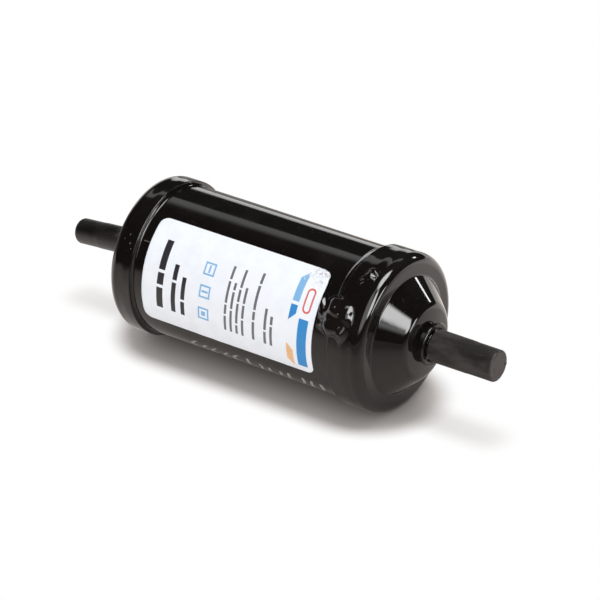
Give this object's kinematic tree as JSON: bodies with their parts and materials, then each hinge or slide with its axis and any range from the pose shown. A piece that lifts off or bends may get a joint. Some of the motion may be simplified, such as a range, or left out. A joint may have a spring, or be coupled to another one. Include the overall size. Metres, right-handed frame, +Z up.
{
  "type": "liquid receiver",
  "caption": "Small in-line liquid receiver: a black welded steel vessel with drawn end caps, a stub tube at each end and push-on dust caps.",
  "frame": {"origin": "middle of the vessel on its axis, halfway between the flat rings of the two end caps", "axes": "+X along the vessel from the inlet to the outlet, +Z up as the vessel lies in the picture, -Y towards the label side"},
  "size_m": [0.2134, 0.0672, 0.0672],
  "materials": {
    "black_enamel": "gloss black enamel over steel",
    "copper": "drawn copper tube",
    "painted_braze": "silver braze under the same black enamel",
    "black_vinyl": "soft matte black vinyl",
    "label_film": null
  },
  "bodies": {
    "vessel": {"shell": "black_enamel", "inlet_end_cap": "black_enamel", "outlet_end_cap": "black_enamel", "inlet_weld": "black_enamel", "outlet_weld": "black_enamel", "inlet_tube": "copper", "outlet_tube": "copper", "inlet_braze": "painted_braze", "outlet_braze": "painted_braze", "label": "label_film"},
    "outlet_cap_body": {"outlet_dust_cap": "black_vinyl"},
    "inlet_cap_body": {"inlet_dust_cap": "black_vinyl"}
  },
  "joints": [
    {"name": "outlet_cap_pull", "type": "slide", "parent": "vessel", "child": "outlet_cap_body", "axis": [1, 0, 0], "range_m": [0, 0.06]},
    {"name": "inlet_cap_pull", "type": "slide", "parent": "vessel", "child": "inlet_cap_body", "axis": [-0.9962, 0, -0.0872], "range_m": [0, 0.06]}
  ]
}
